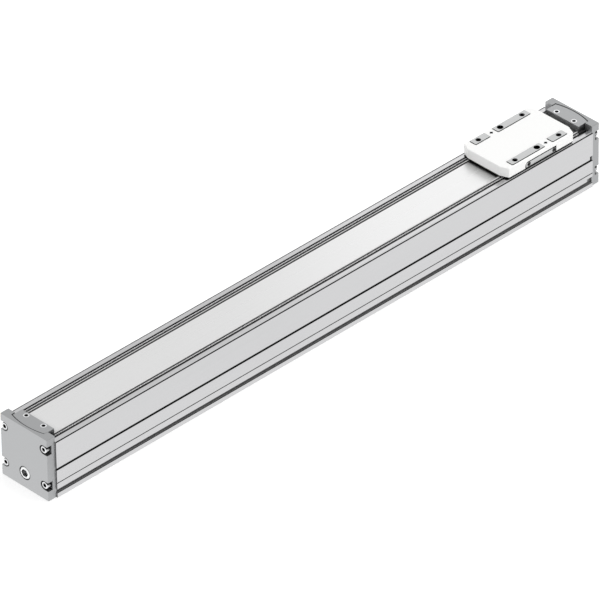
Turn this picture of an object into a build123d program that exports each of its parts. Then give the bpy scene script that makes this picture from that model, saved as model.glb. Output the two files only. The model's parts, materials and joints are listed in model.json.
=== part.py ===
from build123d import *

import os
from math import sqrt

# Electric linear axis with an internal spindle drive, for a motor that is added at the +X end.
#
# The frame: X runs along the travel towards the drive end, Z is up, and the origin is the middle of
# the profile's bottom face. All sizes are in millimetres.

# Housing profile
profile_length = 651.1
profile_width = 60.0
profile_height = 57.5
profile_top_round = 0.8
profile_foot_round = 0.4
floor_thickness = 3.6
lower_wall = 9.5
upper_wall = 6.5
lip_width = 6.5
lip_thickness = 2.8
boss_wall = 2.5
boss_rise = 3.0
boss_depth = 4.2
boss_chamfer = 1.5

# Grooves in the profile's sides
sensor_slot_height = 29.3
sensor_slot_mouth = 1.8
sensor_slot_neck = 1.4
sensor_slot_radius = 2.0
sensor_notch_length = 3.6
sensor_notch_rise = 5.3
clamp_groove_low = 4.5
clamp_groove_mouth = 4.2
clamp_groove_neck = 1.5
clamp_groove_depth = 3.6
clamp_groove_undercut = 0.8
clamp_notch_length = 7.2
clamp_notch_rise = 2.6
marking_line_height = 15.0
marking_line_size = 0.5

# Fasteners: shank radius, head radius, head height, recess across
m2_screw = (1.0, 1.9, 0.6, 1.5)
m2_cross_recessed = (1.0, 2.3, 1.3, 3.4)
m3_screw = (1.5, 2.75, 3.0, 2.5)
m3_countersunk = (1.5, 2.75, 1.6, 2.6)
m4_screw = (2.0, 3.5, 4.0, 3.0)
cross_recess_width = 0.9
hole_play = 0.03
clearance_play = 0.25
thread_reserve = 0.25

# End caps
cap_thickness = 9.2
cap_side_step = 1.3
cap_rise = 6.1
cap_edge_round = 0.7
cap_screw_inset = 6.0
cap_screw_low = 14.55
cap_screw_engagement = 12.0
cap_pocket_radius = 4.5
cap_pocket_depth = 5.2
washer_radius = 3.9
washer_thickness = 0.8
cap_nose_reach = 7.9
cap_nose_depth = 10.6
cap_nose_side_gap = 0.2
cap_boss_side_gap = 3.5
cap_boss_rise = 11.5
cap_boss_round = 6.0

# Cover strip, its edges and its clamps
strip_recess = 0.5
strip_thickness = 0.4
strip_end_reach = 2.5
slot_width = 3.4
strip_edge_width = 2.2
strip_edge_height = 3.1
strip_edge_chamfer = 0.3
strip_edge_end_gap = 0.3
clamp_side_reach = 1.8
clamp_below_cap = 0.4
clamp_edge = 0.3
clamp_shoulder_setback = 5.5
clamp_apex_setback = 2.5
clamp_pocket_gap = 0.45
clamp_screw_inset = 9.1
clamp_screw_setback = 13.4
clamp_screw_engagement = 5.0

# Slide
slide_length = 87.2
slide_side_step = 2.1
slide_lift = 1.1
slide_height = 10.9
slide_corner_along = 3.6
slide_corner_across = 8.2
slide_end_gap = 4.05
slide_rest_from_stop = 8.0
pad_proud = 0.5
cover_top_round = 0.8
cover_side_wall = 1.4
cover_end_wall = 2.4
cover_roof = 2.5
cover_fit = 0.3
cover_screw_along = 11.1
cover_screw_engagement = 4.0

# Mounting pads in the slide
pad_row_inset = 5.4
pad_width = 7.5
pad_end_inset = 9.3
pad_long_end = 6.1
pad_short_end = 16.3
pad_corner = 1.0
pad_window_gap = 0.5
pad_thread_inset = 6.8
pad_thread_radius = 2.1
pad_thread_depth = 9.0
pad_thread_chamfer = 0.5
pad_centring_radius = 3.0
pad_centring_depth = 3.0

# Switch lug bar in the slide's side
lug_start = -19.2
lug_end = 18.6
lug_height = 5.7
lug_inset = 0.2
lug_corner = 2.8
lug_screw_first = -15.1
lug_screw_second = 16.3
lug_screw_rise = 3.0
lug_screw_engagement = 3.5
lug_window_gap = 0.7

# Yoke round the strip
yoke_end_gap = 3.1
yoke_plate_rise = 0.4
strip_play = 0.5
edge_play = 0.4
edge_play_below = 0.2
web_play = 0.6
running_gap = 0.3
yoke_flange_depth = 7.1
glide_inset = 2.5
glide_length = 8.0
glide_side_gap = 0.9
wiper_thickness = 1.6
wiper_side_gap = 0.5
wiper_end_gap = 0.2

# Linear guides on the side walls
rail_width = 9.0
rail_depth = 6.5
rail_waist = 0.9
rail_waist_width = 2.4
rail_end_gap = 5.55
rail_screw_pitch = 80.0
rail_screw_engagement = 5.0
rail_counterbore_cover = 0.4
block_width = 20.0
block_length = 27.0
block_inset = 3.0
block_web = 3.5
block_wall_gap = 2.3
block_chamber_gap = 4.0
block_chamfer = 0.8
block_fit = 0.2
block_cap_thickness = 2.0
block_cap_step = 0.5
block_screw_along = 9.0
block_screw_engagement = 2.8

# Inner carriage
carriage_top_gap = 2.4
carriage_wall = 4.0
carriage_web = 6.4
carriage_corner_round = 0.8
yoke_screw_inner = 6.0
yoke_screw_engagement = 4.6
magnet_length = 10.0
magnet_reach = 5.0
magnet_height = 4.6
magnet_rail_gap = 1.5

# Spindle, nut and bearings
spindle_radius = 6.0
idle_journal_radius = 3.0
idle_journal_reserve = 1.5
drive_journal_radius = 3.5
seal_journal_radius = 3.25
drive_stub_radius = 3.0
drive_stub_reach = 18.0
journal_chamfer = 0.5
journal_play = 0.02
bearing_outer_radius = 9.5
bearing_width = 6.0
bearing_ring_wall = 1.7
track_half = 1.0
track_depth = 0.4
ball_count = 7
ball_play = 0.03
ball_flat_share = 0.9
ball_edge_share = 0.5
drive_bearing_setback = 17.55
idle_bearing_setback = 14.05
retaining_ring_width = 1.2
retaining_ring_wall = 1.6
retainer_length = 3.5
retainer_radius = 10.2
retainer_wall = 3.0
retainer_key_radius = 0.8
retainer_key_depth = 2.5
retainer_inset = 0.5
lock_nut_length = 4.2
lock_nut_radius = 6.4
lock_nut_notch = 0.9
lock_nut_notch_depth = 2.2
nut_half_length = 17.0
nut_radius = 10.5
nut_floor_gap = 1.2
nut_cover = 1.4
nut_play = 0.05
nut_ear_drop = 0.3
nut_screw_along = 12.0
nut_screw_inset = 2.0
nut_screw_engagement = 6.0
nut_wiper_length = 2.0
nut_wiper_radius = 8.8
seal_length = 4.0
seal_radius = 8.0
seal_setback = 7.5

# Drive flange on the drive end's cap
flange_recess_radius = 12.5
flange_recess_depth = 2.0
flange_thread_radius = 1.65
flange_thread_depth = 7.0
flange_thread_width = 32.0
flange_thread_height = 36.0
flange_centre_height = 24.0

# Plug in the idle end's cap
plug_radius = 5.75
plug_length = 8.6
plug_proud = 0.3
plug_hexagon = 7.0
plug_hexagon_depth = 5.0
plug_edge = 0.6
plug_mouth_gap = 0.5
plug_mouth_depth = 1.2

# Buffers on the caps' noses
buffer_side_inset = 8.3
buffer_low_inset = 0.6
buffer_high_inset = 1.0
buffer_length = 6.7

# Places that follow from the sizes above, along the travel
profile_end = profile_length / 2
cap_face = profile_end + cap_thickness
nose_face = profile_end - cap_nose_reach
slide_rest = nose_face - slide_end_gap - slide_length / 2 - slide_rest_from_stop
drive_bearing_start = profile_end - drive_bearing_setback
drive_bearing_end = drive_bearing_start + 2 * bearing_width
idle_bearing_start = profile_end - idle_bearing_setback
rail_length = profile_length - 2 * rail_end_gap
yoke_half_length = slide_length / 2 - yoke_end_gap
block_centre = yoke_half_length - block_inset - block_length / 2
pad_outer_end = slide_length / 2 - pad_end_inset
pad_thread_along = pad_outer_end - pad_thread_inset

# Places across the travel, from the middle plane
spindle_chamber_half = profile_width / 2 - lower_wall
rail_chamber_half = profile_width / 2 - upper_wall
slot_outer = profile_width / 2 - lip_width
slot_inner = slot_outer - slot_width
strip_half_width = slot_inner - strip_edge_width
cap_half_width = profile_width / 2 - cap_side_step
cap_screw_spread = profile_width / 2 - cap_screw_inset
boss_half = cap_screw_spread - boss_wall
cap_nose_half = slot_inner + cap_nose_side_gap
cap_boss_half = spindle_chamber_half - cap_boss_side_gap
clamp_half_width = strip_half_width + clamp_side_reach
clamp_screw_spread = clamp_half_width - clamp_screw_inset
slide_half_width = profile_width / 2 - slide_side_step
yoke_half_width = slide_half_width - cover_side_wall - cover_fit
lug_face = slide_half_width - lug_inset
yoke_web_inner = slot_inner + edge_play
yoke_web_outer = slot_outer - web_play
yoke_flange_half = boss_half - running_gap
pad_row_spread = slide_half_width - pad_row_inset
rail_top = rail_chamber_half - rail_depth
carriage_half = rail_top - block_web
carriage_inner_half = carriage_half - carriage_wall
block_outer = rail_chamber_half - block_wall_gap

# Heights above the profile's bottom face
spindle_height = floor_thickness + nut_floor_gap + nut_radius
carriage_low = spindle_height + nut_radius + nut_cover
lip_low = profile_height - lip_thickness
boss_high = lip_low - boss_chamfer
cap_screw_high = lip_low - boss_rise
boss_low = cap_screw_high - boss_depth
strip_top = profile_height - strip_recess
strip_low = strip_top - strip_thickness
strip_edge_low = profile_height - strip_edge_height
cap_height = profile_height + cap_rise
clamp_top = cap_height - clamp_below_cap
cap_nose_low = strip_low - cap_nose_depth
cap_boss_high = spindle_height + cap_boss_rise
slide_low = profile_height + slide_lift
slide_top = slide_low + slide_height
cover_top = slide_top - pad_proud
yoke_plate_low = slide_low + yoke_plate_rise
yoke_plate_top = cover_top - cover_roof
yoke_flange_low = profile_height - yoke_flange_depth
carriage_web_low = yoke_flange_low - carriage_web
rail_height = yoke_flange_low - carriage_top_gap - block_width / 2
rail_chamber_low = rail_height - block_width / 2 - block_chamber_gap


def block(x_span, y_span, z_span):
    """A rectangular block between pairs of coordinates."""
    size = [high - low for low, high in (x_span, y_span, z_span)]
    middle = [(high + low) / 2 for low, high in (x_span, y_span, z_span)]
    return Pos(*middle) * Box(*size)


def along_x(section, start, end):
    """A section drawn in Y and Z, extruded between two X coordinates."""
    return extrude(Plane.YZ.offset(start) * section, end - start)


def upright(outline, low, high):
    """An outline drawn in X and Y, extruded between two heights."""
    return extrude(Plane.XY.offset(low) * outline, high - low)


def side_plate(outline, start, end):
    """An outline drawn in X and Z, extruded between two distances from the middle, on the -Y side."""
    return extrude(Plane.XZ.offset(start) * outline, end - start)


def bar(start, end, radius, across=0.0, height=spindle_height):
    """A round bar along X, by default on the spindle's axis."""
    return along_x(Pos(across, height) * Circle(radius), start, end)


def post(x, y, low, high, radius):
    """A round bar along Z."""
    return upright(Pos(x, y) * Circle(radius), low, high)


def peg(x, z, start, end, radius):
    """A round bar along Y."""
    low, high = min(start, end), max(start, end)
    return Pos(x, (low + high) / 2, z) * Rot(90, 0, 0) * Cylinder(radius, high - low)


def ring(start, end, outer, inner):
    """A ring on the spindle's axis."""
    return along_x(Pos(0, spindle_height) * (Circle(outer) - Circle(inner)), start, end)


def turned(points):
    """A turned piece on the spindle's axis, from its half outline in X and radius."""
    outline = make_face(Plane.XZ * Polyline(*points, close=True))
    return Pos(0, 0, spindle_height) * revolve(outline, Axis.X)


def mirrored_outline(points):
    """A closed outline from its right-hand half, which is listed from the bottom to the top."""
    left = [(-across, height) for across, height in reversed(points)]
    return make_face(Polyline(*points, *left, close=True))


def slab(half_width, low, high):
    """A rectangle in Y and Z, about the middle plane."""
    return Pos(0, (low + high) / 2) * Rectangle(2 * half_width, high - low)


def to_idle_end(shape):
    """The same piece at the -X end."""
    return mirror(shape, about=Plane.YZ)


def to_right_side(shape):
    """The same piece on the other side of the middle plane."""
    return mirror(shape, about=Plane.XZ)


def both_sides(shape):
    """A shape and its mirror image on the other side of the middle plane."""
    return [shape, to_right_side(shape)]


def on_slide(shape):
    """A piece that is drawn about the slide's middle, at the slide's resting place."""
    return Pos(slide_rest, 0, 0) * shape


def group(shapes):
    """Separate solids as one node."""
    return Compound(children=[solid for shape in shapes for solid in shape.solids()])


def hexagon(across_flats):
    """A hexagon with its flats at the given distance."""
    return RegularPolygon(across_flats / sqrt(3), 6)


def plain_screw(sizes, reach):
    """A hexagon screw along -Z, with the head's seat at the origin."""
    shank_radius, head_radius, head_height, _ = sizes
    return upright(RegularPolygon(head_radius, 6), 0, head_height) + upright(Circle(shank_radius), -reach, 0)


def socket_screw(sizes, reach):
    """A socket screw along -Z, with the head's seat at the origin."""
    shank_radius, head_radius, head_height, across_flats = sizes
    head = upright(Circle(head_radius), 0, head_height)
    head = chamfer(head.edges().group_by(Axis.Z)[-1], head_radius * 0.08)
    socket = upright(hexagon(across_flats), head_height * 0.45, head_height)
    return head + upright(Circle(shank_radius), -reach, 0) - socket


def cross(span):
    """A cross recess with arms of the given span."""
    return Rectangle(span, cross_recess_width) + Rectangle(cross_recess_width, span)


def countersunk_screw(sizes, reach, recess=hexagon):
    """A countersunk screw along -Z, with its flat top at the origin."""
    shank_radius, head_radius, head_height, recess_across = sizes
    head = Pos(0, 0, -head_height / 2) * Cone(shank_radius, head_radius, head_height)
    shank = upright(Circle(shank_radius), -reach, -head_height)
    return head + shank - upright(recess(recess_across), -head_height * 0.8, 0)


def countersink(sizes, reach):
    """The hole that a countersunk screw fits, with its top at the origin."""
    shank_radius, head_radius, head_height, _ = [size + hole_play for size in sizes]
    cone = Pos(0, 0, -head_height / 2) * Cone(shank_radius, head_radius, head_height)
    return cone + upright(Circle(shank_radius), -reach, -head_height / 2)

# Housing profile

def chamber_outline():
    """The open space inside the profile: spindle at the bottom, guides in the middle, slots at the top."""
    return mirrored_outline([
        (spindle_chamber_half, floor_thickness),
        (spindle_chamber_half, rail_chamber_low),
        (rail_chamber_half, rail_chamber_low),
        (rail_chamber_half, boss_low),
        (boss_half, boss_low),
        (boss_half, boss_high),
        (boss_half + boss_chamfer, lip_low),
        (slot_outer, lip_low),
        (slot_outer, profile_height + 1),
    ])


def sensor_slot_outline():
    """A round slot behind a narrow mouth, in the right-hand side."""
    mouth_end = profile_width / 2
    centre = mouth_end - sensor_slot_neck - sensor_slot_radius * 0.9
    mouth = Pos((centre + mouth_end) / 2, sensor_slot_height) * Rectangle(mouth_end - centre, sensor_slot_mouth)
    return mouth + Pos(centre, sensor_slot_height) * Circle(sensor_slot_radius)


def clamp_groove_outline():
    """An undercut groove for mounting clamps, in the right-hand side."""
    face = profile_width / 2
    low, high = clamp_groove_low, clamp_groove_low + clamp_groove_mouth
    neck_end = face - clamp_groove_neck
    back = face - clamp_groove_depth
    under = clamp_groove_undercut
    return make_face(Polyline(
        (face, low), (face, high), (neck_end, high), (neck_end, high + under),
        (back, high + under), (back, low - under / 2), (neck_end, low - under / 2), (neck_end, low),
        close=True,
    ))


def marking_line_outline():
    """A fine V line in the right-hand side."""
    face = profile_width / 2
    return make_face(Polyline(
        (face, marking_line_height - marking_line_size),
        (face, marking_line_height + marking_line_size),
        (face - marking_line_size, marking_line_height),
        close=True,
    ))


def cap_screw_places():
    """Y and Z of the four screws in an end cap."""
    return [(side * cap_screw_spread, height) for side in (-1, 1) for height in (cap_screw_low, cap_screw_high)]


def rail_screw_places():
    """X of the screws in a guide rail, as many as its length takes."""
    gaps = int((rail_length - rail_screw_pitch) / rail_screw_pitch + 0.5)
    return [rail_screw_pitch * (index - gaps / 2) for index in range(gaps + 1)]


def end_notches():
    """The notches at the drive end through which a sensor and a mounting clamp enter, on the +Y side."""
    face = profile_width / 2
    sensor_low = sensor_slot_height - sensor_slot_mouth / 2
    sensor_notch = block(
        (profile_end - sensor_notch_length, profile_end + 1),
        (face - sensor_slot_neck - sensor_slot_radius, face + 1),
        (sensor_low, sensor_low + sensor_notch_rise),
    )
    clamp_notch = block(
        (profile_end - clamp_notch_length, profile_end + 1),
        (face - clamp_groove_depth, face + 1),
        (clamp_groove_low, clamp_groove_low + clamp_groove_mouth + clamp_notch_rise),
    )
    return [sensor_notch, clamp_notch]


def housing_profile():
    """The extruded housing, with its screw channels, grooves and the notches at the drive end."""
    outer = Pos(0, profile_height / 2) * Rectangle(profile_width, profile_height)
    section = fillet(outer.vertices().group_by(Axis.Y)[-1], profile_top_round)
    section = fillet(section.vertices().group_by(Axis.Y)[0], profile_foot_round)
    section = section - chamber_outline()
    for groove in (sensor_slot_outline(), clamp_groove_outline(), marking_line_outline()):
        section = section - groove - mirror(groove, about=Plane.YZ)
    for across, height in cap_screw_places():
        section = section - Pos(across, height) * Circle(m4_screw[0] + hole_play)
    profile = along_x(section, -profile_end, profile_end)
    hole_end = rail_chamber_half + rail_screw_engagement + thread_reserve
    cuts = end_notches()
    for x in rail_screw_places():
        cuts.append(peg(x, rail_height, rail_chamber_half - 1, hole_end, m3_screw[0] + hole_play))
    for cut in cuts:
        for side in both_sides(cut):
            profile = profile - side
    return profile


# End caps

def clamp_outline(grow=0.0):
    """The strip clamp from above at the +X end: straight inside, with an arc outside."""
    half = clamp_half_width + grow
    shoulder = cap_face - clamp_shoulder_setback + grow
    apex = cap_face - clamp_apex_setback + grow
    sides = Polyline((shoulder, half), (nose_face, half), (nose_face, -half), (shoulder, -half))
    return make_face(sides + ThreePointArc((shoulder, -half), (apex, 0), (shoulder, half)))


def clamp_screw_places():
    """X and Y of the two screws in the strip clamp at the +X end."""
    return [(cap_face - clamp_screw_setback, side * clamp_screw_spread) for side in (-1, 1)]


def cap_body(boss_start):
    """What both end caps share, as it lies at the +X end, with its boss from the given X."""
    outline = Pos(0, cap_height / 2) * Rectangle(2 * cap_half_width, cap_height)
    cap = along_x(fillet(outline.vertices(), cap_edge_round), profile_end, cap_face)
    cap = chamfer(cap.faces().sort_by(Axis.X)[-1].edges(), cap_edge_round / 2)
    cap = cap - upright(clamp_outline(clamp_pocket_gap), strip_low, cap_height + 1)
    for across, height in cap_screw_places():
        to_side = cap_half_width - abs(across) + 1
        middle = across + to_side / 2 * (1 if across > 0 else -1)
        pocket = Pos(across, height) * Circle(cap_pocket_radius)
        pocket = pocket + Pos(middle, height) * Rectangle(to_side, 2 * cap_pocket_radius)
        cap = cap - along_x(pocket, cap_face - cap_pocket_depth, cap_face + 1)
        cap = cap - bar(profile_end - 1, cap_face, m4_screw[0] + clearance_play, across, height)
    cap = cap + along_x(slab(cap_nose_half, cap_nose_low, strip_low), nose_face, profile_end)
    for x, y in clamp_screw_places():
        low = strip_low - clamp_screw_engagement - thread_reserve
        cap = cap - post(x, y, low, strip_low + 1, m3_countersunk[0] + hole_play)
    boss = slab(cap_boss_half, floor_thickness, cap_boss_high)
    boss = fillet(boss.vertices().group_by(Axis.Y)[-1], cap_boss_round)
    return cap + along_x(boss, boss_start, profile_end)


def drive_end_cap():
    """The drive end's cap: bearing seat, shaft seal seat, motor flange recess and threads."""
    boss_start = drive_bearing_start - retainer_length - retainer_inset
    cap = cap_body(boss_start)
    cap = cap - bar(boss_start - 1, drive_bearing_start, retainer_radius)
    cap = cap - bar(drive_bearing_start, drive_bearing_end, bearing_outer_radius + journal_play)
    cap = cap - bar(drive_bearing_end, cap_face, seal_radius + journal_play)
    cap = cap - bar(cap_face - flange_recess_depth, cap_face + 1, flange_recess_radius)
    for across, height in flange_thread_places():
        cap = cap - bar(cap_face - flange_thread_depth, cap_face + 1, flange_thread_radius, across, height)
    return cap


def flange_thread_places():
    """Y and Z of the threads for a motor mounting kit."""
    half_width, half_height = flange_thread_width / 2, flange_thread_height / 2
    return [(side * half_width, flange_centre_height + end * half_height) for side in (-1, 1) for end in (-1, 1)]


def idle_end_cap():
    """The idle end's cap: bearing seat and the hole that the plug closes."""
    boss_start = idle_bearing_start - retaining_ring_width - retainer_inset
    seat_end = idle_bearing_start + bearing_width
    cap = cap_body(boss_start)
    cap = cap - bar(boss_start - 1, seat_end, bearing_outer_radius + journal_play)
    cap = cap - bar(seat_end, profile_end, bearing_outer_radius - bearing_ring_wall)
    cap = cap - bar(profile_end - 1, cap_face + 1, plug_radius + hole_play)
    cap = cap - bar(cap_face - plug_mouth_depth, cap_face + 1, plug_radius + plug_mouth_gap)
    return to_idle_end(cap)


def cap_screws():
    """The four screws of the cap at the +X end, each with a washer under its head."""
    seat = cap_face - cap_pocket_depth + washer_thickness
    reach = seat - profile_end + cap_screw_engagement
    washer = upright(Circle(washer_radius), -washer_thickness, 0)
    screw = Rot(0, 90, 0) * (socket_screw(m4_screw, reach) + washer)
    return group([Pos(seat, across, height) * screw for across, height in cap_screw_places()])


def idle_end_plug():
    """The threaded plug on the spindle's axis, with a hexagon socket."""
    face = cap_face + plug_proud
    plug = bar(face - plug_length, face, plug_radius)
    plug = chamfer(plug.edges().sort_by(Axis.X)[-1], plug_edge)
    socket = along_x(Pos(0, spindle_height) * hexagon(plug_hexagon), face - plug_hexagon_depth, face)
    return to_idle_end(plug - socket)


# Cover strip and its clamps

def cover_strip():
    """The flat steel strip that closes the top, from clamp to clamp."""
    end = profile_end + strip_end_reach
    strip = block((-end, end), (-strip_half_width, strip_half_width), (strip_low, strip_top))
    for x, y in clamp_screw_places():
        for side in (-1, 1):
            strip = strip - post(side * x, y, strip_low - 1, strip_top + 1, m3_countersunk[0] + clearance_play)
    return strip


def strip_edges():
    """The edges that hold the strip along both of its sides, from cap to cap."""
    end = nose_face - strip_edge_end_gap
    shoulder = profile_height - strip_edge_chamfer
    outline = make_face(Polyline(
        (strip_half_width, strip_edge_low), (slot_inner, strip_edge_low), (slot_inner, shoulder),
        (slot_inner - strip_edge_chamfer, profile_height), (strip_half_width + strip_edge_chamfer, profile_height),
        (strip_half_width, shoulder),
        close=True,
    ))
    return group(both_sides(along_x(outline, -end, end)))


def strip_clamp():
    """The clamp at the +X end: it bridges from the cap's pocket to the strip."""
    clamp = upright(clamp_outline(), strip_top, clamp_top)
    clamp = chamfer(clamp.faces().sort_by(Axis.Z)[-1].edges(), clamp_edge)
    for x, y in clamp_screw_places():
        clamp = clamp - Pos(x, y, clamp_top) * countersink(m3_countersunk, clamp_top - strip_top + 1)
    return clamp


def clamp_screws():
    """The two screws of the clamp at the +X end."""
    screw = countersunk_screw(m3_countersunk, clamp_top - strip_low + clamp_screw_engagement)
    return group([Pos(x, y, clamp_top) * screw for x, y in clamp_screw_places()])


# Slide

def slide_outline(half_length, half_width):
    """The slide from above: a rectangle with its corners cut."""
    corner = [(half_length - slide_corner_along, half_width), (half_length, half_width - slide_corner_across)]
    right = corner + [(x, -y) for x, y in reversed(corner)]
    left = [(-x, -y) for x, y in right]
    return make_face(Polyline(*right, *left, close=True))


def pad_outlines(grow=0.0):
    """The four mounting pads from above: a long and a short one in each row, turned end for end."""
    pads = []
    for low, high in ((-pad_outer_end, pad_long_end), (pad_short_end, pad_outer_end)):
        pad = RectangleRounded(high - low + 2 * grow, pad_width + 2 * grow, pad_corner + grow)
        for side in (-1, 1):
            pads.append(Pos(-side * (low + high) / 2, side * pad_row_spread) * pad)
    return pads


def cover_screw_places():
    """X and Y of the two screws that hold the slide cover, from the slide's middle."""
    return [(cover_screw_along, -pad_row_spread), (-cover_screw_along, pad_row_spread)]


def pad_thread_places():
    """X and Y of the threaded holes in the pads, from the slide's middle."""
    return [(end * pad_thread_along, side * pad_row_spread) for end in (-1, 1) for side in (-1, 1)]


def yoke_screw_places():
    """X of the screws that join yoke and carriage on the middle line, from the slide's middle."""
    return [end * along for end in (-1, 1) for along in (yoke_screw_inner, block_centre)]


def lug_screw_places():
    """X and Z of the two screws in the switch lug bar, from the slide's middle."""
    return [(x, slide_low + lug_screw_rise) for x in (lug_screw_first, lug_screw_second)]


def lug_outline(grow=0.0):
    """The switch lug bar from the side: square at the bottom and rounded at one upper corner."""
    low, high = slide_low - grow, slide_low + lug_height + grow
    start, end = lug_start - grow, lug_end + grow
    outline = make_face(Polyline((start, low), (end, low), (end, high), (start, high), close=True))
    corner = outline.vertices().sort_by_distance(Vertex(start, high, 0))[0]
    return fillet(corner, lug_corner + grow)


def slide_cover():
    """The moulded white cover, with windows for the pads and for the switch lug bar."""
    half_length = slide_length / 2
    cover = upright(slide_outline(half_length, slide_half_width), slide_low, cover_top)
    cover = fillet(cover.faces().sort_by(Axis.Z)[-1].edges(), cover_top_round)
    hollow = slide_outline(half_length - cover_end_wall, slide_half_width - cover_side_wall)
    cover = cover - upright(hollow, slide_low - 1, cover_top - cover_roof)
    for window in pad_outlines(pad_window_gap):
        cover = cover - upright(window, cover_top - cover_roof - 1, cover_top + 1)
    cover = cover - side_plate(lug_outline(lug_window_gap), yoke_half_width - 1, slide_half_width + 1)
    for x, y in cover_screw_places():
        cover = cover - Pos(x, y, cover_top) * countersink(m2_cross_recessed, cover_roof + 1)
    return on_slide(cover)


def slide_yoke():
    """The aluminium yoke: mounting plate, webs through the slots and flange under the strip, in one piece."""
    section = mirrored_outline([
        (yoke_flange_half, yoke_flange_low),
        (yoke_flange_half, boss_high),
        (yoke_web_outer, boss_high + yoke_web_outer - yoke_flange_half),
        (yoke_web_outer, yoke_plate_low),
        (yoke_half_width, yoke_plate_low),
        (yoke_half_width, yoke_plate_top),
    ])
    section = section - slab(yoke_web_inner, strip_low - strip_play, yoke_plate_low)
    groove_low = strip_edge_low - edge_play_below
    groove = slab(yoke_web_inner, groove_low, yoke_plate_low) - slab(strip_half_width - edge_play / 2, 0, cap_height)
    yoke = along_x(section - groove, -yoke_half_length, yoke_half_length)
    yoke = yoke & upright(slide_outline(yoke_half_length, yoke_half_width), 0, slide_top)
    for pad in pad_outlines():
        yoke = yoke + upright(pad, yoke_plate_top, slide_top)
    for x, y in pad_thread_places():
        mouth = Pos(x, y, slide_top - pad_thread_chamfer / 2)
        yoke = yoke - post(x, y, slide_top - pad_thread_depth, slide_top + 1, pad_thread_radius)
        yoke = yoke - mouth * Cone(pad_thread_radius, pad_thread_radius + pad_thread_chamfer, pad_thread_chamfer)
    for y in (-pad_row_spread, pad_row_spread):
        yoke = yoke - post(0, y, slide_top - pad_centring_depth, slide_top + 1, pad_centring_radius)
    for x, y in cover_screw_places():
        low = yoke_plate_top - cover_screw_engagement - thread_reserve
        yoke = yoke - post(x, y, low, yoke_plate_top + 1, m2_cross_recessed[0] + hole_play)
    for x, z in lug_screw_places():
        inner = yoke_half_width - lug_screw_engagement - thread_reserve
        yoke = yoke - peg(x, z, -inner, -yoke_half_width - 1, m2_screw[0] + hole_play)
    for x in yoke_screw_places():
        high = yoke_flange_low + yoke_screw_engagement + thread_reserve
        yoke = yoke - post(x, 0, yoke_flange_low - 1, high, m4_screw[0] + hole_play)
    return on_slide(yoke)


def cover_screws():
    """The two small screws that hold the slide cover."""
    screw = countersunk_screw(m2_cross_recessed, cover_roof + cover_screw_engagement, cross)
    return on_slide(group([Pos(x, y, cover_top) * screw for x, y in cover_screw_places()]))


def switch_lug_bar():
    """The bar in the slide's side that carries a switch lug."""
    shank_radius, head_radius, head_height, _ = m2_screw
    lug = side_plate(lug_outline(), yoke_half_width, lug_face)
    for x, z in lug_screw_places():
        lug = lug - peg(x, z, -yoke_half_width + 1, -lug_face - 1, shank_radius + clearance_play)
        lug = lug - peg(x, z, -lug_face + head_height, -lug_face - 1, head_radius + clearance_play)
    return on_slide(lug)


def switch_lug_screws():
    """The two tiny screws of the switch lug bar: low heads with a hexagon socket, let into the bar."""
    seat = lug_face - m2_screw[2]
    screw = Rot(90, 0, 0) * socket_screw(m2_screw, seat - yoke_half_width + lug_screw_engagement)
    return on_slide(group([Pos(x, -seat, z) * screw for x, z in lug_screw_places()]))


def strip_glides():
    """The plastic glides above the strip, near both ends of the yoke."""
    half_width = strip_half_width - glide_side_gap
    outer = yoke_half_length - glide_inset
    glide = block((outer - glide_length, outer), (-half_width, half_width), (strip_top + running_gap, yoke_plate_low))
    return on_slide(group([glide, to_idle_end(glide)]))


def strip_wiper():
    """The wiper under the cover's +X end."""
    face = slide_length / 2 - wiper_end_gap
    half_width = yoke_web_inner - wiper_side_gap
    return block((face - wiper_thickness, face), (-half_width, half_width), (profile_height + running_gap, slide_low))


# Inner carriage and its guides

def carriage_body():
    """The carriage: an inverted channel that joins guide blocks, nut and yoke."""
    inside = slab(carriage_inner_half, carriage_low, carriage_web_low)
    inside = fillet(inside.vertices().group_by(Axis.Y)[-1], carriage_corner_round)
    section = slab(carriage_half, carriage_low, yoke_flange_low) - inside
    carriage = along_x(section, -yoke_half_length, yoke_half_length)
    for x in yoke_screw_places():
        carriage = carriage - post(x, 0, carriage_web_low - 1, yoke_flange_low + 1, m4_screw[0] + clearance_play)
    for x in block_screw_places():
        for cut in both_sides(peg(x, rail_height, 0, carriage_half + 1, m3_screw[0] + clearance_play)):
            carriage = carriage - cut
    for x, y in nut_screw_places():
        high = carriage_low + nut_screw_engagement + thread_reserve
        carriage = carriage - post(x, y, carriage_low - 1, high, m3_screw[0] + hole_play)
    return on_slide(carriage)


def block_places():
    """X of the middle of each guide block, from the slide's middle."""
    return [-block_centre, block_centre]


def block_screw_places():
    """X of the screws that hold the guide blocks, from the slide's middle."""
    return [middle + end * block_screw_along for middle in block_places() for end in (-1, 1)]


def nut_screw_places():
    """X and Y of the screws that hold the nut, from the slide's middle."""
    across = carriage_half - nut_screw_inset
    return [(end * nut_screw_along, side * across) for end in (-1, 1) for side in (-1, 1)]


def yoke_screws():
    """The screws that join the carriage to the yoke from below."""
    screw = Rot(180, 0, 0) * plain_screw(m4_screw, carriage_web + yoke_screw_engagement)
    return on_slide(group([Pos(x, 0, carriage_web_low) * screw for x in yoke_screw_places()]))


def rail_outline():
    """A guide rail's section on the +Y wall, with a waist on both flanks."""
    half = rail_width / 2
    waist = half - rail_waist
    middle = (rail_top + rail_chamber_half) / 2
    waist_half = rail_waist_width / 2
    upper = [
        (rail_chamber_half, half), (middle + waist_half + rail_waist, half), (middle + waist_half, waist),
        (middle - waist_half, waist), (middle - waist_half - rail_waist, half), (rail_top, half),
    ]
    lower = [(across, -height) for across, height in reversed(upper)]
    return Pos(0, rail_height) * make_face(Polyline(*upper, *lower, close=True))


def rail_screw_seat():
    """Y of the rail screws' seats on the +Y side."""
    return rail_top + m3_screw[2] + rail_counterbore_cover


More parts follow.
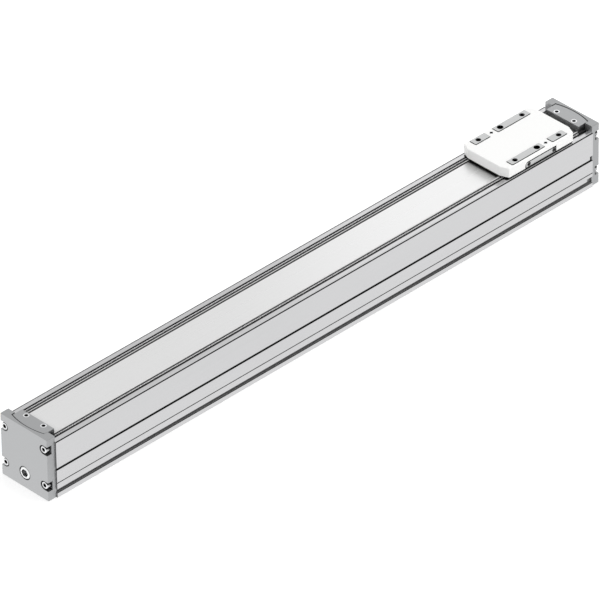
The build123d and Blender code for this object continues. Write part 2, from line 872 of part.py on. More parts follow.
def guide_rail():
    """The rail on the +Y wall, with its counterbored holes."""
    rail = along_x(rail_outline(), -rail_length / 2, rail_length / 2)
    shank_radius, head_radius, _, _ = [size + clearance_play for size in m3_screw]
    for x in rail_screw_places():
        rail = rail - peg(x, rail_height, rail_top - 1, rail_screw_seat(), head_radius)
        rail = rail - peg(x, rail_height, rail_screw_seat(), rail_chamber_half + 1, shank_radius)
    return rail


def rail_screws():
    """The screws of the rail on the +Y wall."""
    reach = rail_chamber_half - rail_screw_seat() + rail_screw_engagement
    screw = Rot(90, 0, 0) * plain_screw(m3_screw, reach)
    return group([Pos(x, rail_screw_seat(), rail_height) * screw for x in rail_screw_places()])


def block_outline(inset=0.0):
    """A guide block's section on the +Y side, open round the rail."""
    inner, outer = carriage_half + inset, block_outer - inset
    body = Pos((inner + outer) / 2, rail_height) * Rectangle(outer - inner, block_width - 2 * inset)
    body = chamfer(body.vertices(), block_chamfer)
    gap_start = rail_top - block_fit
    gap = Rectangle(rail_chamber_half - gap_start, rail_width + 2 * block_fit)
    return body - Pos((gap_start + rail_chamber_half) / 2, rail_height) * gap


def guide_blocks():
    """The two steel guide blocks on the +Y side."""
    half = block_length / 2 - block_cap_thickness
    depth = carriage_half + block_screw_engagement + thread_reserve
    blocks = []
    for middle in block_places():
        body = along_x(block_outline(), middle - half, middle + half)
        for end in (-1, 1):
            x = middle + end * block_screw_along
            body = body - peg(x, rail_height, carriage_half - 1, depth, m3_screw[0] + hole_play)
        blocks.append(body)
    return on_slide(group(blocks))


def guide_block_caps():
    """The plastic end caps of the two guide blocks on the +Y side."""
    outer = block_length / 2
    cap = along_x(block_outline(block_cap_step), outer - block_cap_thickness, outer)
    caps = [Pos(middle, 0, 0) * piece for middle in block_places() for piece in (cap, to_idle_end(cap))]
    return on_slide(group(caps))


def block_screws():
    """The screws that hold the guide blocks, from inside the carriage, on the +Y side."""
    screw = Rot(90, 0, 0) * plain_screw(m3_screw, carriage_wall + block_screw_engagement)
    return on_slide(group([Pos(x, carriage_inner_half, rail_height) * screw for x in block_screw_places()]))


def sensor_magnets():
    """The magnets on the carriage's sides that a sensor in the slot answers to."""
    high = rail_height - rail_width / 2 - magnet_rail_gap
    half = magnet_length / 2
    magnet = block((-half, half), (carriage_half, carriage_half + magnet_reach), (high - magnet_height, high))
    return on_slide(group(both_sides(magnet)))


# Spindle, nut and bearings

def spindle_shaft():
    """The spindle: idle journal, threaded length, drive journal and stub shaft, turned in one piece."""
    idle_start = -(idle_bearing_start + bearing_width + idle_journal_reserve)
    stub_end = cap_face + drive_stub_reach
    journal_end = drive_bearing_end + lock_nut_length
    stub_start = cap_face - flange_recess_depth
    edge = journal_chamfer
    return turned([
        (idle_start, 0), (idle_start, idle_journal_radius - edge), (idle_start + edge, idle_journal_radius),
        (-idle_bearing_start, idle_journal_radius), (-idle_bearing_start, spindle_radius),
        (drive_bearing_start, spindle_radius), (drive_bearing_start, drive_journal_radius),
        (journal_end, drive_journal_radius), (journal_end, seal_journal_radius),
        (stub_start, seal_journal_radius), (stub_start, drive_stub_radius),
        (stub_end - edge, drive_stub_radius), (stub_end, drive_stub_radius - edge), (stub_end, 0),
    ])


def spindle_nut():
    """The nut: round below and flat above, where it seats under the carriage."""
    ears_low = spindle_height - nut_ear_drop
    section = slab(carriage_half, ears_low, carriage_low) + Pos(0, spindle_height) * Circle(nut_radius)
    section = section - Pos(0, spindle_height) * Circle(spindle_radius + nut_play)
    nut = along_x(section, -nut_half_length, nut_half_length)
    for x, y in nut_screw_places():
        nut = nut - post(x, y, 0, ears_low, m3_screw[1] + clearance_play)
        nut = nut - post(x, y, ears_low - 1, carriage_low + 1, m3_screw[0] + clearance_play)
    for start in (-nut_half_length, nut_half_length - nut_wiper_length):
        nut = nut - bar(start, start + nut_wiper_length, nut_wiper_radius)
    return on_slide(nut)


def nut_wipers():
    """The plastic wipers at both ends of the nut."""
    inner = nut_half_length - nut_wiper_length
    wiper = ring(inner, nut_half_length, nut_wiper_radius - hole_play, spindle_radius + nut_play)
    return on_slide(group([wiper, to_idle_end(wiper)]))


def nut_screws():
    """The screws that hold the nut under the carriage."""
    seat = spindle_height - nut_ear_drop
    screw = Rot(180, 0, 0) * plain_screw(m3_screw, carriage_low - seat + nut_screw_engagement)
    return on_slide(group([Pos(x, y, seat) * screw for x, y in nut_screw_places()]))


def bearing_outer_ring(start):
    """A bearing's outer ring, with a V track for the balls."""
    inner = bearing_outer_radius - bearing_ring_wall
    return bearing_ring(start, bearing_outer_radius, inner, inner + track_depth)


def bearing_inner_ring(start, journal_radius):
    """A bearing's inner ring, with a V track for the balls."""
    outer = journal_radius + bearing_ring_wall
    return bearing_ring(start, journal_radius + journal_play, outer, outer - track_depth)


def bearing_ring(start, seat_radius, race_radius, track_radius):
    """A ring between its seat and its race, with a V track in the race's middle."""
    end = start + bearing_width
    middle = start + bearing_width / 2
    return turned([
        (start, seat_radius), (start, race_radius), (middle - track_half, race_radius), (middle, track_radius),
        (middle + track_half, race_radius), (end, race_radius), (end, seat_radius),
    ])


def bearing_balls(start, journal_radius):
    """The balls of one bearing, as cut cubes that stay inside the ball's size."""
    gap = bearing_outer_radius - journal_radius - 2 * bearing_ring_wall
    apex = gap / 2 + track_depth
    ball_radius = apex * track_half / sqrt(track_half**2 + track_depth**2) - ball_play
    cube = ball_radius * ball_flat_share
    ball = chamfer(Box(2 * cube, 2 * cube, 2 * cube).edges(), cube * ball_edge_share)
    track = (bearing_outer_radius + journal_radius) / 2
    balls = []
    for index in range(ball_count):
        turn = 360 * index / ball_count
        place = Pos(start + bearing_width / 2, 0, spindle_height) * Rot(turn, 0, 0) * Pos(0, track, 0)
        balls.append(place * ball)
    return balls


def drive_bearing_starts():
    """The first face of each of the two bearings at the drive end."""
    return [drive_bearing_start, drive_bearing_start + bearing_width]


def idle_bearing_face():
    """The first face of the idle end's bearing, at the -X end."""
    return -idle_bearing_start - bearing_width


def bearing_retainer():
    """The threaded ring that holds the drive end bearings in their seat, with two holes for a key."""
    start = drive_bearing_start - retainer_length
    inner = retainer_radius - retainer_wall
    retainer = ring(start, drive_bearing_start, retainer_radius - hole_play, inner)
    for side in (-1, 1):
        height = spindle_height + side * (retainer_radius + inner) / 2
        retainer = retainer - bar(start - 1, start + retainer_key_depth, retainer_key_radius, 0, height)
    return retainer


def bearing_lock_nut():
    """The nut that clamps the inner rings on the spindle's drive journal, with two notches for a key."""
    end = drive_bearing_end + lock_nut_length
    nut = ring(drive_bearing_end, end, lock_nut_radius, drive_journal_radius + journal_play)
    low, high = spindle_height - lock_nut_notch, spindle_height + lock_nut_notch
    for side in both_sides(block((end - lock_nut_notch_depth, end + 1), (lock_nut_radius - 1, seal_radius), (low, high))):
        nut = nut - side
    return nut


def shaft_seal():
    """The lip seal round the stub shaft."""
    start = cap_face - seal_setback
    return ring(start, start + seal_length, seal_radius, seal_journal_radius + nut_play)


def idle_retaining_ring():
    """The ring that holds the idle end's bearing in its seat."""
    inner = bearing_outer_radius - retaining_ring_wall
    return ring(-idle_bearing_start, -idle_bearing_start + retaining_ring_width, bearing_outer_radius, inner)


def end_buffer():
    """The rubber buffer on the nose of the cap at the +X end."""
    half_width = cap_nose_half - buffer_side_inset
    heights = (cap_nose_low + buffer_low_inset, strip_low - buffer_high_inset)
    return block((nose_face - buffer_length, nose_face), (-half_width, half_width), heights)


def build_nodes():
    """Every piece of the axis by its node name."""
    nodes = {
        "housing_profile": housing_profile(),
        "drive_end_cap": drive_end_cap(),
        "idle_end_cap": idle_end_cap(),
        "drive_cap_screws": cap_screws(),
        "idle_cap_screws": to_idle_end(cap_screws()),
        "idle_end_plug": idle_end_plug(),
        "cover_strip": cover_strip(),
        "strip_edges": strip_edges(),
        "drive_strip_clamp": strip_clamp(),
        "idle_strip_clamp": to_idle_end(strip_clamp()),
        "drive_clamp_screws": clamp_screws(),
        "idle_clamp_screws": to_idle_end(clamp_screws()),
        "guide_rail_left": guide_rail(),
        "guide_rail_right": to_right_side(guide_rail()),
        "rail_screws_left": rail_screws(),
        "rail_screws_right": to_right_side(rail_screws()),
        "drive_end_buffer": end_buffer(),
        "idle_end_buffer": to_idle_end(end_buffer()),
        "bearing_retainer": bearing_retainer(),
        "shaft_seal": shaft_seal(),
        "idle_retaining_ring": idle_retaining_ring(),
        "slide_cover": slide_cover(),
        "slide_yoke": slide_yoke(),
        "cover_screws": cover_screws(),
        "switch_lug_bar": switch_lug_bar(),
        "switch_lug_screws": switch_lug_screws(),
        "strip_glides": strip_glides(),
        "drive_strip_wiper": on_slide(strip_wiper()),
        "idle_strip_wiper": on_slide(to_idle_end(strip_wiper())),
        "carriage_body": carriage_body(),
        "yoke_screws": yoke_screws(),
        "guide_blocks_left": guide_blocks(),
        "guide_blocks_right": to_right_side(guide_blocks()),
        "guide_block_caps_left": guide_block_caps(),
        "guide_block_caps_right": to_right_side(guide_block_caps()),
        "block_screws_left": block_screws(),
        "block_screws_right": to_right_side(block_screws()),
        "sensor_magnets": sensor_magnets(),
        "spindle_nut": spindle_nut(),
        "nut_wipers": nut_wipers(),
        "nut_screws": nut_screws(),
        "spindle_shaft": spindle_shaft(),
        "bearing_lock_nut": bearing_lock_nut(),
    }
    drive, idle = drive_journal_radius, idle_journal_radius
    starts = drive_bearing_starts()
    nodes["drive_bearing_outer_rings"] = group([bearing_outer_ring(start) for start in starts])
    nodes["drive_bearing_inner_rings"] = group([bearing_inner_ring(start, drive) for start in starts])
    nodes["drive_bearing_balls"] = group([ball for start in starts for ball in bearing_balls(start, drive)])
    nodes["idle_bearing_outer_ring"] = bearing_outer_ring(idle_bearing_face())
    nodes["idle_bearing_inner_ring"] = bearing_inner_ring(idle_bearing_face(), idle)
    nodes["idle_bearing_balls"] = group(bearing_balls(idle_bearing_face(), idle))
    return nodes


os.makedirs("parts", exist_ok=True)
for name, shape in build_nodes().items():
    export_step(shape, f"parts/{name}.step")
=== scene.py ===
import json
from math import cos, pi, radians, sin

import bpy
from bpy.props import FloatProperty, FloatVectorProperty, PointerProperty
from mathutils import Matrix, Vector


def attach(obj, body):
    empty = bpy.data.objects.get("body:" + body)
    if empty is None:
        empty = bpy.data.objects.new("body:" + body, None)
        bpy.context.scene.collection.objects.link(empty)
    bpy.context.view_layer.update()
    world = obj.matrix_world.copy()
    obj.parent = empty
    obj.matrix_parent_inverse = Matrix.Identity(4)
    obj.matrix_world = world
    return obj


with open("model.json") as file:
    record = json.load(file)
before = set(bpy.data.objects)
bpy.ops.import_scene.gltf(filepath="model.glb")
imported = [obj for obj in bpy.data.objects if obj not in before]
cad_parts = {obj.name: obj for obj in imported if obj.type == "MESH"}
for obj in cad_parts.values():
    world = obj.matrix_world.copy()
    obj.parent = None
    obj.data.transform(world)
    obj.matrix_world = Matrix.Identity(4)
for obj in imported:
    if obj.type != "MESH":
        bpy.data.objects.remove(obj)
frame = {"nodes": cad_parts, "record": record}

bl_info = {
    "name": "Electric linear axis finishes",
    "version": (1, 0, 0),
    "blender": (4, 5, 0),
    "location": "View3D > Sidebar > Linear axis",
    "description": "Gives a spindle-driven linear axis its finishes, its thread turns and a pale studio",
    "category": "Object",
}

MM = 0.001
NODES = frame["nodes"]
MOUNTS = {mount["name"]: mount for mount in frame["record"]["mounts"]}
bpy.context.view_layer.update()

# Share of its colour that a surface keeps where its painted shade is darkest
DARKEST = 0.02
# Rays that measure how open a place is
CREVICE_RAYS = 12


def linear(hex_colour):
    """The linear colour of an sRGB hex value."""
    channels = [int(hex_colour[start:start + 2], 16) / 255 for start in (1, 3, 5)]
    return [c / 12.92 if c <= 0.04045 else ((c + 0.055) / 1.055) ** 2.4 for c in channels]


def colour(hex_colour, name, description):
    """A colour setting with an sRGB hex default."""
    return FloatVectorProperty(name=name, description=description, subtype="COLOR", size=3, min=0, max=1,
                               default=linear(hex_colour))


def millimetres(value, name, description):
    """A length setting with its default in millimetres."""
    return FloatProperty(name=name, description=description, subtype="DISTANCE", unit="LENGTH", min=0,
                         precision=5, default=value * MM)


def brightness(value, name, description):
    """A setting for a brightness, where 1 is as bright as the colour itself."""
    return FloatProperty(name=name, description=description, min=0, default=value)


def watts(value, name, description):
    """A setting for a lamp's power."""
    return FloatProperty(name=name, description=description, subtype="POWER", unit="POWER", min=0,
                         default=value)


class HousingSettings(bpy.types.PropertyGroup):
    """Colours and grain of the profile, the caps and the strip."""

    profile: colour("#C1C1C2", "Profile", "Satin anodised extrusion")
    cap_edge: colour("#A6A7A8", "Cap edges", "Blasted casting, all round the caps")
    # Painted light: the faces across the travel take this lighter colour for how the light falls on them.
    cap_lit_face: colour("#B2B3B4", "Cap faces", "Fly-cut outer faces of the caps")
    clamp: colour("#A5A6A7", "Strip clamps", "Milled clamps on both caps")
    strip: colour("#DCDCDC", "Cover strip", "Rolled stainless strip")
    strip_edge: colour("#DADADA", "Strip edges", "Extruded edges beside the strip")
    clamp_bow: millimetres(3.0, "Clamp bow", "Rise of the clamps' curved edge over its ends")
    slot_edge: millimetres(23.5, "Slot edge", "Distance of the slots' outer edges from the middle plane")
    # The two line widths and edge_shade and groove_shade set painted shade; slot_shade and flank_shade,
    # above 1, set painted light.
    edge_line: millimetres(0.8, "Edge line", "Width of the dark line along the profile's rounded edges")
    corner_shade_line: millimetres(0.75, "Joint line", "Width of the dark line along the strip edges' corners")
    edge_shade: brightness(0.05, "Edge shade", "Brightness of the edges along the top")
    groove_shade: brightness(0.6, "Groove shade", "Brightness inside the side's grooves")
    slot_shade: brightness(2.4, "Slot shade", "Brightness inside the top's slots")
    flank_shade: brightness(2.1, "Flank shade", "Brightness of the strip edges' flanks")
    die_line: millimetres(1.2, "Die line spacing", "Distance between the extrusion's drawing lines")
    blast_grain: millimetres(0.6, "Blast grain", "Grain of the blasted caps")
    rolling_line: millimetres(0.9, "Rolling line spacing", "Distance between the strip's rolling lines")


class SlideSettings(bpy.types.PropertyGroup):
    """Colours of the slide and of what it carries inside."""

    cover: colour("#F6F6F5", "Cover", "Moulded white acetal")
    machined: colour("#BCBDBD", "Machined aluminium", "Yoke with its pads, and carriage")
    lug: colour("#BEBFBF", "Switch lug bar", "Milled bar in the slide's side")
    black_plastic: colour("#1E1F20", "Black plastic", "Moulded guide caps, glides and nut wipers")
    rubber: colour("#161616", "Rubber", "Wipers, buffers and shaft seal")
    # Painted shade: the thread turns are painted nearly black as the shade down the holes.
    thread: colour("#0B0B0C", "Thread turns", "Tapped and oily, in the threaded holes")
    magnet: colour("#3A3B3E", "Magnets", "Nickel-free coating of the sensor magnets")
    # Painted shade: height of the black line along the cover's lower edge.
    cover_shade_line: millimetres(0.6, "Cover rim", "Height of the dark line along the cover's lower edge")
    milling_line: millimetres(0.8, "Milling line spacing", "Feed marks of the machined pads")


class DriveSettings(bpy.types.PropertyGroup):
    """Colours and thread sizes of the drive and of the fasteners."""

    ground_steel: colour("#A9ABAE", "Ground steel", "Spindle, rails, guide blocks and bearings")
    zinc: colour("#E4E5E6", "Zinc plating", "Screws")
    plug: colour("#E8E9E9", "Plug", "Turned plug in the idle end cap")
    lead: millimetres(12.0, "Spindle lead", "Travel of the slide for one turn of the spindle")
    slide_pitch: millimetres(0.8, "Slide thread pitch", "Pitch of the slide's M5 threads")
    flange_pitch: millimetres(0.7, "Flange thread pitch", "Pitch of the drive flange's M4 threads")


class StageSettings(bpy.types.PropertyGroup):
    """The studio: floor, lamps and camera."""

    floor: colour("#E6E6E6", "Floor", "Matt pale floor")
    glow: brightness(0.45, "Floor glow", "Light added where the camera sees the floor")
    mirrored: brightness(1.25, "Mirrored floor", "Brightness of the floor in reflections")
    daylight: brightness(0.66, "Room light", "Strength of the even light from all round")
    key: watts(8.5, "Key lamp", "Power of the lamp above")
    fill: watts(15.0, "Fill lamp", "Power of the lamp beside the long side")
    side: watts(10.0, "Side lamp", "Power of the lamp before the idle end")
    back: watts(0.29, "Back lamp", "Power of the lamp behind the drive end")
    lens: FloatProperty(name="Focal length", description="Focal length on a 36 mm sensor, in millimetres",
                        min=1, default=526.93)


# The object's pieces

def extent(name):
    """The low and the high corner of a CAD node's box."""
    corners = [NODES[name].matrix_world @ Vector(corner) for corner in NODES[name].bound_box]
    return [[pick(corner[axis] for corner in corners) for axis in range(3)] for pick in (min, max)]


def dress(material, *names):
    """Gives CAD nodes a material."""
    for name in names:
        mesh = NODES[name].data
        mesh.materials.clear()
        mesh.materials.append(material)


# Materials

def add_node(tree, kind, inputs=(), **settings):
    """Adds a node with its settings, and gives each input a value, a socket or a node's first output."""
    node = tree.nodes.new("ShaderNode" + kind)
    for key, value in settings.items():
        setattr(node, key, value)
    for key, value in inputs.items() if isinstance(inputs, dict) else enumerate(inputs):
        if isinstance(value, bpy.types.Node):
            value = value.outputs[0]
        if isinstance(value, bpy.types.NodeSocket):
            tree.links.new(value, node.inputs[key])
        else:
            node.inputs[key].default_value = value
    return node


def new_material(name, base, metallic, roughness):
    """A material with the values that are the same all over its surface."""
    material = bpy.data.materials.new(name)
    material.use_nodes = True
    tree = material.node_tree
    shader = tree.nodes["Principled BSDF"]
    shader.inputs["Base Color"].default_value = (*base, 1)
    shader.inputs["Metallic"].default_value = metallic
    shader.inputs["Roughness"].default_value = roughness
    place = add_node(tree, "TexCoord").outputs["Object"]
    return material, tree, shader, place


def pattern(tree, place, size, detail, along=None, stretch=200):
    """A cloudy pattern with a grain of the given size, drawn out into long lines where an axis is named."""
    scale = [1 / size] * 3
    if along:
        scale["XYZ".index(along)] /= stretch
    spread = add_node(tree, "Mapping", {"Vector": place, "Scale": scale})
    return add_node(tree, "TexNoise", {"Vector": spread, "Scale": 1, "Detail": detail})


def paint_crevice_shade(tree, shader, shade, reach, shut=0.1, free=0.95, alone=False):
    """Gives the shader a colour with painted shade, which fades it to nearly black in crevices.

    The painted shade is none from the openness free on, and darkest from the openness shut down.
    """
    crevice = add_node(tree, "AmbientOcclusion", {"Distance": reach}, samples=CREVICE_RAYS, only_local=alone)
    light = add_node(tree, "MapRange", (crevice.outputs["AO"], shut, free, DARKEST, 1))
    dark = add_node(tree, "VectorMath", {0: shade, "Scale": light}, operation="SCALE")
    tree.links.new(dark.outputs[0], shader.inputs["Base Color"])


def vary(tree, value, base, spread):
    """A colour that varies with the grain, by the given share to both sides."""
    factor = add_node(tree, "MapRange", (value, 0.3, 0.7, 1 - spread, 1 + spread))
    return add_node(tree, "VectorMath", {0: tuple(base), "Scale": factor}, operation="SCALE")


def tint_with_crevice_shade(tree, shader, value, base, spread, reach=3 * MM, shut=0.1, free=0.95):
    """Gives the shader a colour that varies with the grain, with painted shade in crevices."""
    paint_crevice_shade(tree, shader, vary(tree, value, base, spread), reach, shut, free)


def roughen(tree, shader, value, low, high):
    """Varies the roughness with the grain, between two values."""
    rough = add_node(tree, "MapRange", (value, 0, 1, low, high))
    tree.links.new(rough.outputs[0], shader.inputs["Roughness"])


def emboss(tree, shader, value, depth, strength=1.0):
    """Raises the surface with the grain, up to the given depth."""
    bump = add_node(tree, "Bump", {"Height": value, "Distance": depth, "Strength": strength})
    tree.links.new(bump.outputs[0], shader.inputs["Normal"])


def from_axes(tree, place, name, axes, radius):
    """The distance from the nearest axis of a group of like screws, which lie in a row or a rectangle."""
    low, high = extent(name)
    parts = add_node(tree, "SeparateXYZ", (place,))
    total = 0.0
    for axis in axes:
        middle = (low[axis] + high[axis]) / 2
        half = max((high[axis] - low[axis]) / 2 - radius, 0)
        offset = add_node(tree, "Math", (parts.outputs[axis], middle), operation="SUBTRACT")
        offset = add_node(tree, "Math", (offset,), operation="ABSOLUTE")
        offset = add_node(tree, "Math", (offset, half), operation="SUBTRACT")
        total = add_node(tree, "Math", (offset, offset, total), operation="MULTIPLY_ADD")
    return add_node(tree, "Math", (total,), operation="SQRT")


def satin_anodised_extrusion():
    """Aluminium, extruded and clear anodised."""
    # Long faint drawing lines on an even satin grey. Real ones are 0.1 mm apart, and these are as coarse
    # as they need to show.
    settings = bpy.context.scene.axis_housing
    material, tree, shader, place = new_material("satin_anodised_extrusion", settings.profile, 1.0, 0.42)
    lines = pattern(tree, place, settings.die_line, 3, "X")
    _, y, z = add_node(tree, "SeparateXYZ", (place,)).outputs
    _, half_width, height = extent("housing_profile")[1]
    across = add_node(tree, "Math", (y,), operation="ABSOLUTE")
    below_top = add_node(tree, "Math", (height, z), operation="SUBTRACT")
    behind_side = add_node(tree, "Math", (half_width, across), operation="SUBTRACT")
    # Painted shade: dark lines along the rounded outer edges, which turn away from the light, the left one
    # by more.
    turned = add_node(tree, "MapRange", (y, -1 * MM, 1 * MM, 0, 0.6 * MM))
    corner = add_node(tree, "Math", (behind_side, turned), operation="SUBTRACT")
    flat = add_node(tree, "Math", (below_top, 0.25 * MM), operation="ADD")
    corner = add_node(tree, "Math", (flat, corner), operation="MAXIMUM")
    # The same painted shade along the outer edges of the slots in the top.
    mouth = add_node(tree, "Math", (across, settings.slot_edge), operation="SUBTRACT")
    mouth = add_node(tree, "Math", (mouth,), operation="ABSOLUTE")
    mouth = add_node(tree, "Math", (mouth, below_top), operation="MAXIMUM")
    # Painted shade darkens the sensor slots, which are narrow.
    sensor = add_node(tree, "Math", (z, MOUNTS["sensor_slot_left"]["pos_m"][2]), operation="SUBTRACT")
    sensor = add_node(tree, "Math", (sensor,), operation="ABSOLUTE")
    sensor = add_node(tree, "Math", (sensor, 0.3 * MM), operation="SUBTRACT")
    edge = add_node(tree, "Math", (corner, mouth), operation="MINIMUM")
    edge = add_node(tree, "Math", (edge, sensor), operation="MINIMUM")
    line = add_node(tree, "MapRange", (edge, settings.edge_line, settings.edge_line + 0.2 * MM,
                                       settings.edge_shade, 1))
    # Inside, painted shade on first the rounded edge, then the wall of the slot or of the side's groove,
    # with painted light on the slots' upper walls and painted shade below them.
    depth = add_node(tree, "Math", (below_top, behind_side), operation="MINIMUM")
    depth = add_node(tree, "Math", (depth, z), operation="MINIMUM")
    slot = add_node(tree, "MapRange", (below_top, 2.0 * MM, 2.5 * MM, settings.slot_shade, 0.1))
    wall = add_node(tree, "MapRange", (behind_side, 5 * MM, 6 * MM, settings.groove_shade, slot))
    deep = add_node(tree, "MapRange", (depth, 0.8 * MM, 1.1 * MM, settings.edge_shade, 1))
    deep = add_node(tree, "Math", (deep, wall), operation="MULTIPLY")
    rim = add_node(tree, "MapRange", (depth, 0.01 * MM, 0.05 * MM, 1, settings.edge_shade))
    rim = add_node(tree, "Math", (rim, deep), operation="MAXIMUM")
    light = add_node(tree, "Math", (line, rim), operation="MULTIPLY")
    shade = add_node(tree, "VectorMath", {0: vary(tree, lines, settings.profile, 0.018), "Scale": light},
                     operation="SCALE")
    # Painted shade in its own crevices, within 2.5 mm.
    paint_crevice_shade(tree, shader, shade, 2.5 * MM, 0.15, 0.9, True)
    # The surface is matt inside the slots and grooves, as the die left it, and along the top's outer edges.
    top = add_node(tree, "MapRange", (below_top, 0.02 * MM, 0.05 * MM, 0.3, 1))
    middle = add_node(tree, "MapRange", (behind_side, 1.9 * MM, 2.3 * MM, 0, 1))
    bright = add_node(tree, "Math", (top, middle), operation="MAXIMUM")
    outside = add_node(tree, "MapRange", (depth, 0.3 * MM, 0.5 * MM, 1, 0))
    bright = add_node(tree, "Math", (outside, bright), operation="MINIMUM")
    tree.links.new(bright.outputs[0], shader.inputs["Metallic"])
    roughen(tree, shader, lines, 0.16, 0.26)
    emboss(tree, shader, lines, 0.02 * MM, 0.25)
    return material


def blasted_casting():
    """Aluminium, die-cast and blasted, with its end faces painted lighter."""
    # Fine dull grain all over, and painted light on the faces across the travel, the caps' ends among them.
    # Real grain is 0.2 mm, and this is as coarse as it needs to show.
    settings = bpy.context.scene.axis_housing
    material, tree, shader, place = new_material("blasted_casting", settings.cap_edge, 1.0, 0.5)
    grain = pattern(tree, place, settings.blast_grain, 4)
    normal = add_node(tree, "NewGeometry").outputs["True Normal"]
    normal = add_node(tree, "VectorTransform", (normal,), vector_type="NORMAL", convert_from="WORLD",
                      convert_to="OBJECT")
    # Painted light: faces across the travel take the lighter colour.
    facing = add_node(tree, "Math", (add_node(tree, "SeparateXYZ", (normal,)),), operation="ABSOLUTE")
    cut = add_node(tree, "Math", (facing, 0.9), operation="GREATER_THAN")
    shade = add_node(tree, "Mix", {"Factor": cut, 6: (*settings.cap_edge, 1), 7: (*settings.cap_lit_face, 1)},
                     data_type="RGBA")
    # Painted shade: a dark ring where the plug's mouth meets the idle cap, for the shade in the gap between
    # them.
    (face, left, bottom), (_, right, top) = extent("idle_end_plug")
    x, y, z = add_node(tree, "SeparateXYZ", (place,)).outputs
    level = add_node(tree, "Math", (z, (top + bottom) / 2), operation="SUBTRACT")
    aside = add_node(tree, "Math", (y, y), operation="MULTIPLY")
    away = add_node(tree, "Math", (level, level, aside), operation="MULTIPLY_ADD")
    away = add_node(tree, "Math", (away,), operation="SQRT")
    ring = add_node(tree, "Math", (away, (right - left) / 2), operation="SUBTRACT")
    ring = add_node(tree, "Math", (ring,), operation="ABSOLUTE")
    inward = add_node(tree, "Math", (x, face), operation="SUBTRACT")
    ring = add_node(tree, "Math", (ring, inward), operation="MAXIMUM")
    ring = add_node(tree, "MapRange", (ring, 0.8 * MM, 1.0 * MM, 0.1, 1))
    speckle = add_node(tree, "MapRange", (grain, 0, 1, 0.97, 1.03))
    light = add_node(tree, "Math", (ring, speckle), operation="MULTIPLY")
    shade = add_node(tree, "VectorMath", {0: shade.outputs[2], "Scale": light}, operation="SCALE")
    # Painted shade in its own crevices, within 3 mm.
    paint_crevice_shade(tree, shader, shade, 3 * MM, alone=True)
    roughen(tree, shader, grain, 0.42, 0.56)
    emboss(tree, shader, grain, 0.03 * MM, 0.3)
    return material


def milled_clamp():
    """Aluminium, milled and clear anodised."""
    # Slightly darker than the profile, with faint feed marks across the travel. Real marks are 0.2 mm
    # apart, and these are as coarse as they need to show.
    settings = bpy.context.scene.axis_housing
    material, tree, shader, place = new_material("milled_clamp", settings.clamp, 1.0, 0.4)
    marks = pattern(tree, place, bpy.context.scene.axis_slide.milling_line, 2, "Y")
    # Painted shade: a dark line round the idle clamp's curved edge, for the shade in the joint.
    (end, right, _), (_, left, _) = extent("idle_strip_clamp")
    radius = ((left - right) ** 2 / 4 + settings.clamp_bow ** 2) / (2 * settings.clamp_bow)
    x, y, _ = add_node(tree, "SeparateXYZ", (place,)).outputs
    along = add_node(tree, "Math", (x, end + radius), operation="SUBTRACT")
    aside = add_node(tree, "Math", (y, y), operation="MULTIPLY")
    away = add_node(tree, "Math", (along, along, aside), operation="MULTIPLY_ADD")
    away = add_node(tree, "Math", (away,), operation="SQRT")
    edge = add_node(tree, "Math", (away, radius), operation="SUBTRACT")
    edge = add_node(tree, "Math", (edge,), operation="ABSOLUTE")
    line = add_node(tree, "MapRange", (edge, 0.5 * MM, 0.8 * MM, 0.2, 1))
    shade = add_node(tree, "VectorMath", {0: vary(tree, marks, settings.clamp, 0.02), "Scale": line},
                     operation="SCALE")
    # Painted shade in crevices, and painted shadow from parts up to 10 mm away.
    paint_crevice_shade(tree, shader, shade, 10 * MM, 0.2, 0.9)
    roughen(tree, shader, marks, 0.34, 0.46)
    emboss(tree, shader, marks, 0.02 * MM, 0.2)
    return material


def rolled_stainless_strip():
    """Stainless steel, cold rolled to a strip."""
    # Bright and even, with fine lines in the rolling direction that draw the reflections out. Real ones
    # are under 0.1 mm apart, and these are as coarse as they need to show.
    settings = bpy.context.scene.axis_housing
    material, tree, shader, place = new_material("rolled_stainless_strip", settings.strip, 1.0, 0.3)
    lines = pattern(tree, place, settings.rolling_line, 3, "X", 400)
    # Painted shade: a dark seam along the left edge, where the strip dips into its slot.
    _, y, _ = add_node(tree, "SeparateXYZ", (place,)).outputs
    seam = add_node(tree, "Math", (extent("cover_strip")[1][1], y), operation="SUBTRACT")
    seam = add_node(tree, "MapRange", (seam, 0.65 * MM, 0.95 * MM, settings.edge_shade, 1))
    shade = add_node(tree, "VectorMath", {0: vary(tree, lines, settings.strip, 0.012), "Scale": seam},
                     operation="SCALE")
    # Painted shadow from the slide and the clamps, up to 12 mm away.
    paint_crevice_shade(tree, shader, shade, 12 * MM, 0.35, 0.9)
    roughen(tree, shader, lines, 0.24, 0.34)
    emboss(tree, shader, lines, 0.01 * MM, 0.2)
    return material


